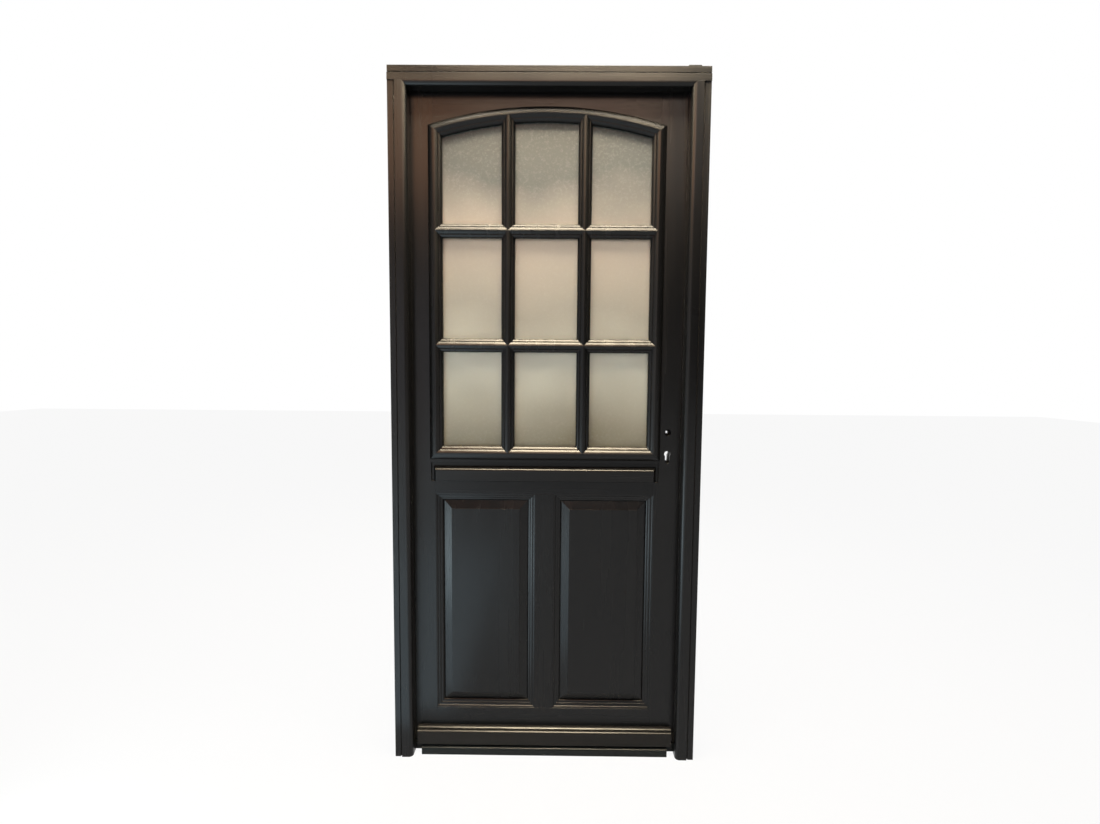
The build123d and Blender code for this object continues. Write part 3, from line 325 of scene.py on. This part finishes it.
def obscure_glass(low, crown):
    """Fine-grained obscure glass between two heights: cloudy, with painted light and shade in bands by
    height, and small bright specks.
    """
    material, tree, shader = new_material("obscure_glass")
    coords = add(tree, "ShaderNodeTexCoord").outputs["Object"]
    height = add(tree, "ShaderNodeSeparateXYZ", {"Vector": coords}).outputs["Z"]
    wander = spread(tree, noise(tree, coords, *WANDER_NOISE), *NOISE_MIDDLE, -GLASS_WANDER, GLASS_WANDER)
    level = computed(tree, "ADD", height, wander)
    # Painted light and shade: the tint runs through pale and dark bands by height.
    ramp = add(tree, "ShaderNodeValToRGB", {"Fac": spread(tree, level, low, crown, 0.0, 1.0)})
    set_tones(ramp, GLASS_TINT_LIGHT_AND_SHADE)
    grit = noise(tree, coords, *GRIT_NOISE)
    specks = spread(tree, noise(tree, coords, *SPECK_NOISE), *SPECK_RANGE, 0.0, SPECK_SHARE)
    tree.links.new(blended(tree, specks, ramp.outputs["Color"], SPECK_TONE), shader.inputs["Base Color"])
    tree.links.new(spread(tree, grit, *NOISE_MIDDLE, *GLASS_ROUGHNESS), shader.inputs["Roughness"])
    shader.inputs["Transmission Weight"].default_value = GLASS_THROUGH
    shader.inputs["Specular IOR Level"].default_value = GLASS_SPECULAR
    shader.inputs["IOR"].default_value = GLASS_IOR
    cells = add(tree, "ShaderNodeTexVoronoi", {"Vector": coords, "Scale": CELL_SCALE}).outputs["Distance"]
    rippled = bumped(tree, cells, *CELL_BUMP)
    tree.links.new(bumped(tree, grit, *GRIT_BUMP, rippled), shader.inputs["Normal"])
    return material


def clear_glass():
    """Polished glass with a little dust on it."""
    material, tree, shader = new_material("clear_glass")
    coords = add(tree, "ShaderNodeTexCoord").outputs["Object"]
    shader.inputs["Transmission Weight"].default_value = 1.0
    shader.inputs["IOR"].default_value = GLASS_IOR
    tint = blended(tree, noise(tree, coords, *TINT_NOISE), CLEAR_DARK, CLEAR_LIGHT)
    tree.links.new(tint, shader.inputs["Base Color"])
    dust = spread(tree, noise(tree, coords, *DUST_NOISE), *DUST_RANGE, *DUST_ROUGHNESS)
    tree.links.new(dust, shader.inputs["Roughness"])
    waves = noise(tree, coords, *WAVE_NOISE)
    tree.links.new(bumped(tree, waves, *WAVE_BUMP), shader.inputs["Normal"])
    return material


def metal(name, brushed_along, dark, light, roughness, metallic=1.0):
    """Metal with fine brushing, or a coated metal where metallic is low."""
    material, tree, shader = new_material(name)
    plain, drawn = stretched_coords(tree, brushed_along)
    lines = noise(tree, drawn, *BRUSH_NOISE)
    patches = noise(tree, plain, *PATCH_NOISE)
    tree.links.new(blended(tree, patches, dark, light), shader.inputs["Base Color"])
    tree.links.new(spread(tree, lines, *NOISE_MIDDLE, *roughness), shader.inputs["Roughness"])
    shader.inputs["Metallic"].default_value = metallic
    edges = add(tree, "ShaderNodeBevel", {"Radius": METAL_ARRIS}, samples=ARRIS_SAMPLES).outputs["Normal"]
    tree.links.new(bumped(tree, lines, *BRUSH_BUMP, edges), shader.inputs["Normal"])
    return material


def moulded(name, dark, light, roughness, skin_scale):
    """Rubber or plastic with a fine skin."""
    material, tree, shader = new_material(name)
    coords = add(tree, "ShaderNodeTexCoord").outputs["Object"]
    skin = noise(tree, coords, skin_scale, SKIN_DETAIL, SKIN_GRIT)
    shader.inputs["Specular IOR Level"].default_value = MOULDED_SPECULAR
    clouds = noise(tree, coords, *MOULDED_NOISE)
    tree.links.new(blended(tree, clouds, dark, light), shader.inputs["Base Color"])
    tree.links.new(spread(tree, skin, *NOISE_MIDDLE, *roughness), shader.inputs["Roughness"])
    tree.links.new(bumped(tree, skin, *SKIN_BUMP), shader.inputs["Normal"])
    return material


paint_upright = painted_timber("painted_timber_upright", "Z", **PAINT)
paint_level = painted_timber("painted_timber_level", "X", **PAINT)
# The threshold and lower weather bar paints hold painted reflection in their lifted base colours.
paint_threshold_and_reflection = painted_timber("painted_threshold_and_reflection", "X", **THRESHOLD_PAINT_AND_REFLECTION)
paint_lower_bar_and_reflection = painted_timber("painted_lower_bar_and_reflection", "X", **LOWER_BAR_PAINT_AND_REFLECTION)
pane_low, pane_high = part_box("glass_outer_pane")
glass_obscure = obscure_glass(pane_low.z, pane_high.z)
glass_clear = clear_glass()
steel = metal("lock_steel", "Z", **STEEL)
# Painted shade: the lock case is near black so that its holes look dark.
case_steel_in_shade = metal("lock_case_steel", "Z", **CASE_STEEL_IN_SHADE)
hinge_paint = metal("hinge_coating", "Z", **HINGE_COATING)
spacer_metal = metal("spacer_aluminium", "X", **ALUMINIUM)
rubber = moulded("seal_rubber", **RUBBER)
plastic = moulded("packer_plastic", **PLASTIC)

LEVEL_NODES = {
    "head", "top_rail", "mid_rail", "bottom_rail", "upper_weather_bar",
    "glazing_moulding_outer_top", "glazing_moulding_outer_bottom",
    "glazing_moulding_inner_top", "glazing_moulding_inner_bottom",
}
FINISHES = {
    "threshold": paint_threshold_and_reflection,
    "lower_weather_bar": paint_lower_bar_and_reflection,
    "frame_seal": rubber,
    "top_packer": plastic,
    "strike_plate": steel,
    "lock_faceplate": steel,
    "lock_case": case_steel_in_shade,
    "glass_outer_pane": glass_obscure,
    "glass_inner_pane": glass_clear,
    "glass_spacer": spacer_metal,
}


def finish_of(node_name):
    if node_name in FINISHES:
        return FINISHES[node_name]
    if node_name.startswith("hinge_") and node_name.endswith("_half"):
        return hinge_paint
    return paint_level if node_name in LEVEL_NODES else paint_upright


for node_name, node in nodes.items():
    node.data.materials.clear()
    node.data.materials.append(finish_of(node_name))


# Screws

def add_screw(mesh, centre, facing, turn):
    """One cross-slotted head whose top faces along facing."""
    to_place = Matrix.Translation(centre) @ facing.to_track_quat("Z", "Y").to_matrix().to_4x4()
    to_place = to_place @ Matrix.Rotation(turn, 4, "Z")
    rings = []
    for radius, height in SCREW_PROFILE:
        ring = []
        for i in range(SCREW_SIDES):
            angle = 2 * math.pi * i / SCREW_SIDES
            point = Vector((radius * math.cos(angle), radius * math.sin(angle), height))
            ring.append(mesh.verts.new(to_place @ point))
        rings.append(ring)
    for low, high in zip(rings, rings[1:]):
        for i in range(SCREW_SIDES):
            j = (i + 1) % SCREW_SIDES
            mesh.faces.new((low[i], low[j], high[j], high[i]))
    mesh.faces.new(list(reversed(rings[0])))

    arm = SCREW_RADIUS * SLOT_REACH
    cross = []
    for quarter in range(4):
        spin = Matrix.Rotation(quarter * math.pi / 2, 3, "Z")
        for x, y in ((arm, -SLOT_HALF), (arm, SLOT_HALF), (SLOT_HALF, SLOT_HALF)):
            cross.append(spin @ Vector((x, y, 0)))
    lip = [mesh.verts.new(to_place @ (p + Vector((0, 0, SCREW_RAISE)))) for p in cross]
    sink = Vector((0, 0, -SCREW_DEPTH * SLOT_DEPTH))
    floor = [mesh.verts.new(to_place @ (p * SLOT_TAPER + sink)) for p in cross]
    count = len(cross)
    for i in range(count):
        j = (i + 1) % count
        mesh.faces.new((lip[j], lip[i], floor[i], floor[j]))
    mesh.faces.new(floor)
    rim = rings[-1]
    rim_edges = [mesh.edges.get((rim[i], rim[(i + 1) % SCREW_SIDES])) for i in range(SCREW_SIDES)]
    lip_edges = [mesh.edges.get((lip[i], lip[(i + 1) % count])) for i in range(count)]
    bmesh.ops.triangle_fill(mesh, edges=rim_edges + lip_edges, use_beauty=True)


def screws(name, places, body, material):
    """A set of screw heads as one piece. places are (centre, facing) pairs."""
    mesh = bmesh.new()
    for number, (centre, facing) in enumerate(places):
        add_screw(mesh, centre, facing, SCREW_TURN * number)
    bmesh.ops.recalc_face_normals(mesh, faces=mesh.faces)
    data = bpy.data.meshes.new(name)
    mesh.to_mesh(data)
    mesh.free()
    data.materials.append(material)
    piece = bpy.data.objects.new(name, data)
    bpy.context.scene.collection.objects.link(piece)
    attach(piece, body)


def plate_screws(node_name, side):
    """Screw places on the middle line of an upright plate; side is +1 or -1 along X."""
    low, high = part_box(node_name)
    x = high.x if side > 0 else low.x
    y = (low.y + high.y) / 2
    tall = high.z - low.z
    return [(Vector((x, y, low.z + tall * s)), Vector((side, 0, 0))) for s in PLATE_SCREW_SHARES]


def hinge_screw_places(half, face, side):
    """Screws in the flat plate of each hinge half, staggered across its width.

    face is the X of the plate's face, and side the way that it looks along X.
    """
    places = []
    for number in HINGE_NUMBERS:
        low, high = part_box(f"hinge_{number}_{half}_half")
        for i, share in enumerate(HINGE_SCREW_SHARES):
            y = low.y + HINGE_SCREW_ROWS[i % 2]
            places.append((Vector((face, y, low.z + (high.z - low.z) * share)), Vector((side, 0, 0))))
    return places


leaf_plate_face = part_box("hinge_stile")[0].x
frame_plate_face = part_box("hinge_1_frame_half")[0].x + HINGE_PLATE
leaf_places = hinge_screw_places("leaf", leaf_plate_face, -1)
frame_places = hinge_screw_places("frame", frame_plate_face, 1)
screws("lock_faceplate_screws", plate_screws("lock_faceplate", 1), "leaf", steel)
screws("strike_plate_screws", plate_screws("strike_plate", -1), "frame", steel)
screws("hinge_leaf_screws", leaf_places, "leaf", hinge_paint)
screws("hinge_frame_screws", frame_places, "frame", hinge_paint)


# Studio

def seen_white(tree, share):
    """share for rays that show the backdrop: straight, in gloss or through glass."""
    path = add(tree, "ShaderNodeLightPath")
    total = path.outputs["Is Camera Ray"]
    for name in ("Is Glossy Ray", "Is Transmission Ray"):
        total = computed(tree, "MAXIMUM", total, path.outputs[name])
    return computed(tree, "MULTIPLY", total, share)


def build_floor():
    """A wide plain floor that keeps the shadow of the door."""
    mesh = bmesh.new()
    bmesh.ops.create_grid(mesh, x_segments=4, y_segments=4, size=FLOOR_SIZE / 2)
    data = bpy.data.meshes.new("floor")
    mesh.to_mesh(data)
    mesh.free()
    material, tree, shader = new_material("pale_floor")
    coords = add(tree, "ShaderNodeTexCoord").outputs["Object"]
    mottle = spread(tree, noise(tree, coords, *FLOOR_NOISE), *NOISE_MIDDLE, *FLOOR_ROUGHNESS)
    tree.links.new(mottle, shader.inputs["Roughness"])
    shader.inputs["Base Color"].default_value = FLOOR_TONE
    glow = add(tree, "ShaderNodeEmission", {"Color": WHITE, "Strength": 1.0})
    mix = add(tree, "ShaderNodeMixShader", {"Fac": seen_white(tree, FLOOR_GLOW)})
    tree.links.new(shader.outputs["BSDF"], mix.inputs[1])
    tree.links.new(glow.outputs["Emission"], mix.inputs[2])
    tree.links.new(mix.outputs["Shader"], tree.nodes["Material Output"].inputs["Surface"])
    data.materials.append(material)
    floor = bpy.data.objects.new("floor", data)
    bpy.context.scene.collection.objects.link(floor)


def build_world():
    """White behind the door; on the other side a dim room that is lighter at the left."""
    world = bpy.data.worlds.new("studio")
    bpy.context.scene.world = world
    world.use_nodes = True
    tree = world.node_tree
    room = tree.nodes["Background"]
    direction = add(tree, "ShaderNodeTexCoord").outputs["Generated"]
    parts = add(tree, "ShaderNodeSeparateXYZ", {"Vector": direction})
    up = spread(tree, parts.outputs["Z"], *ROOM_HEIGHTS, 0.0, 1.0)
    ramp = add(tree, "ShaderNodeValToRGB", {"Fac": up})
    set_tones(ramp, ROOM_TONES)
    tree.links.new(ramp.outputs["Color"], room.inputs["Color"])
    level = spread(tree, parts.outputs["X"], *ROOM_SIDES, *ROOM_LEVELS)
    tree.links.new(level, room.inputs["Strength"])
    white = add(tree, "ShaderNodeBackground", {"Color": WHITE, "Strength": 1.0})

    path = add(tree, "ShaderNodeLightPath")
    through = computed(tree, "MAXIMUM", path.outputs["Is Glossy Ray"], path.outputs["Is Transmission Ray"])
    behind = computed(tree, "GREATER_THAN", parts.outputs["Y"], 0.0)
    backdrop = computed(tree, "MULTIPLY", through, behind)
    seen = computed(tree, "MAXIMUM", backdrop, path.outputs["Is Camera Ray"])
    mix = add(tree, "ShaderNodeMixShader", {"Fac": seen})
    tree.links.new(room.outputs["Background"], mix.inputs[1])
    tree.links.new(white.outputs["Background"], mix.inputs[2])
    tree.links.new(mix.outputs["Shader"], tree.nodes["World Output"].inputs["Surface"])


def area_light(name, where, level, tone, gloss_only):
    """An even rectangular lamp, whose radiance is pi / 4 times level."""
    width = where["width"]
    height = where["height"]
    place = Vector(where["place"])
    data = bpy.data.lights.new(name, "AREA")
    data.shape = "RECTANGLE"
    data.size = width
    data.size_y = height
    data.energy = level * math.pi * width * height
    data.color = tone
    lamp = bpy.data.objects.new(name, data)
    lamp.location = place
    lamp.rotation_euler = (Vector(where["target"]) - place).to_track_quat("-Z", "Y").to_euler()
    lamp.visible_camera = False
    lamp.visible_diffuse = not gloss_only
    bpy.context.scene.collection.objects.link(lamp)


def build_camera():
    """The camera at the place and with the view of the photograph."""
    data = bpy.data.cameras.new("camera")
    data.sensor_fit = "HORIZONTAL"
    data.sensor_width = SENSOR
    data.lens = FOCAL_PIXELS * SENSOR / IMAGE_WIDTH
    data.clip_start = CLIP_START
    camera = bpy.data.objects.new("camera", data)
    across = Vector((math.cos(YAW), -math.sin(YAW), 0))
    above = Vector((math.sin(PITCH) * math.sin(YAW), math.sin(PITCH) * math.cos(YAW), math.cos(PITCH)))
    ahead = Vector((math.cos(PITCH) * math.sin(YAW), math.cos(PITCH) * math.cos(YAW), -math.sin(PITCH)))
    right = math.cos(ROLL) * across + math.sin(ROLL) * above
    up = -math.sin(ROLL) * across + math.cos(ROLL) * above
    camera.matrix_world = Matrix.Translation(EYE) @ Matrix((right, up, -ahead)).transposed().to_4x4()
    bpy.context.scene.collection.objects.link(camera)
    bpy.context.scene.camera = camera


build_floor()
build_world()
for lamp in LAMPS:
    area_light(*lamp)
build_camera()
bpy.context.scene.view_settings.view_transform = "Standard"
